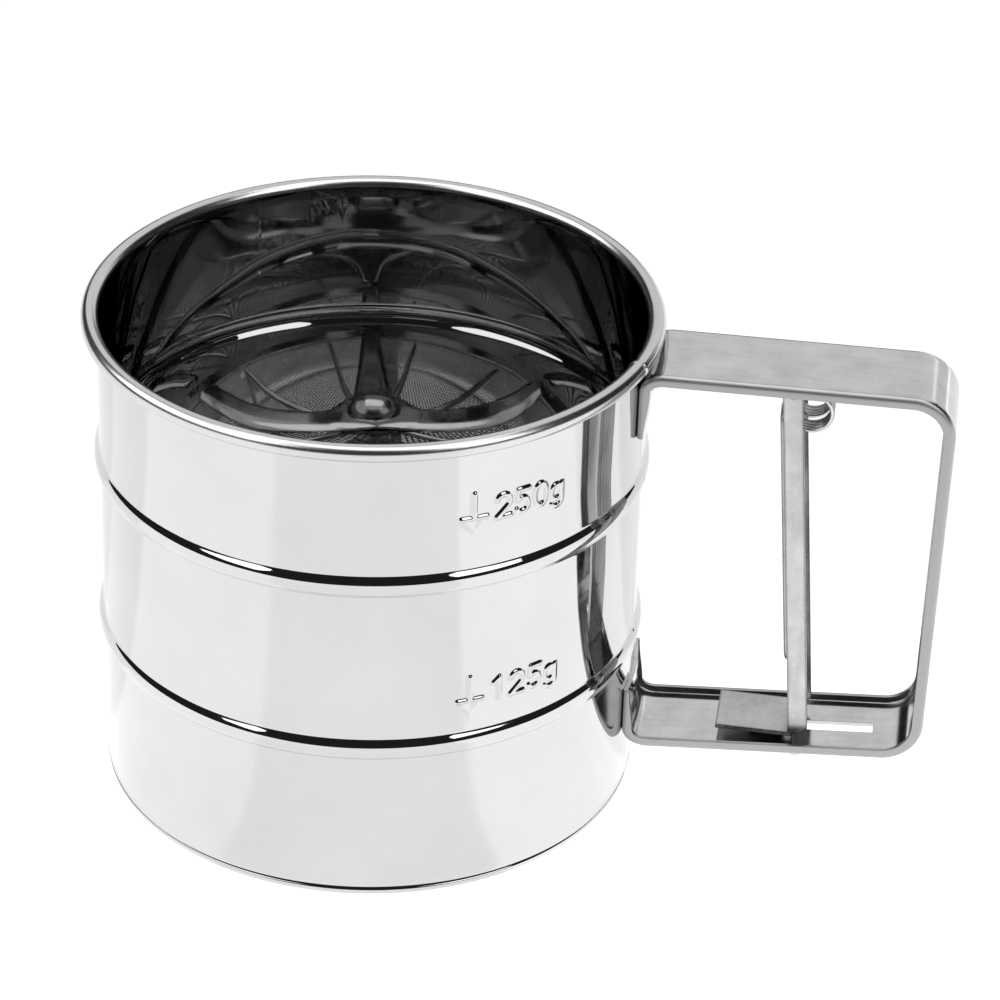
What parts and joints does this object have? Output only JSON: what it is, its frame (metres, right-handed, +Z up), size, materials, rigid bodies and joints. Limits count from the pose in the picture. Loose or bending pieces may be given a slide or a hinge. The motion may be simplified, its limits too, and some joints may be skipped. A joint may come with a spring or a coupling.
{
  "type": "trigger flour sifter",
  "caption": "Round stainless flour sifter cup with rolled beads, curled rim, loop handle, squeeze trigger and a crank-driven agitator over a fine wire screen.",
  "frame": {"origin": "the cup's axis at the plane that the cup stands on", "axes": "+Z up along the cup's axis, +X from the axis towards the handle"},
  "size_m": [0.1586, 0.1054, 0.095],
  "materials": {
    "polished_steel": "mirror polished",
    "satin_steel": "satin",
    "spring_steel": "drawn wire",
    "wire_screen": "woven"
  },
  "bodies": {
    "cup": {"cup_body": "polished_steel", "screen_mesh": "wire_screen", "screen_ring_upper": "polished_steel", "screen_ring_lower": "polished_steel", "screen_eyelet": "polished_steel", "under_bridge": "satin_steel", "axle_stud": "satin_steel", "axle_cap": "polished_steel", "thrust_washer": "satin_steel", "cap_washer": "satin_steel", "handle": "satin_steel", "hinge_bracket": "satin_steel", "hinge_pin": "satin_steel"},
    "trigger": {"trigger": "satin_steel", "drive_lug": "satin_steel", "return_spring": "spring_steel"},
    "link": {"link_rod": "spring_steel", "hook_clip": "spring_steel"},
    "agitator": {"hub_sleeve": "satin_steel", "vane_boss": "satin_steel", "agitator_arms": "polished_steel", "agitator_vanes": "polished_steel", "crank_arm": "satin_steel", "crank_pin": "satin_steel", "crank_clip": "spring_steel"}
  },
  "joints": [
    {"name": "trigger_pivot", "type": "hinge", "parent": "cup", "child": "trigger", "pos_m": [0.0767, 0, 0.087], "axis": [0, -1, 0], "range_deg": [0, 9.2], "stiffness_Nm_per_rad": 0.6, "springref_deg": -20.05, "deforming": ["return_spring"]},
    {"name": "link_hook", "type": "hinge", "parent": "trigger", "child": "link", "pos_m": [0.0817, 0, 0.0081], "axis": [0, -1, 0], "range_deg": [-9, 0]},
    {"name": "agitator_spin", "type": "hinge", "parent": "cup", "child": "agitator", "pos_m": [0, 0, 0.012], "axis": [0, 0, -1], "range_deg": [0, 66]}
  ],
  "couplings": [
    {"joint": "link_hook", "follows": "trigger_pivot", "ratio": -0.87},
    {"joint": "agitator_spin", "follows": "trigger_pivot", "ratio": 6.85}
  ]
}
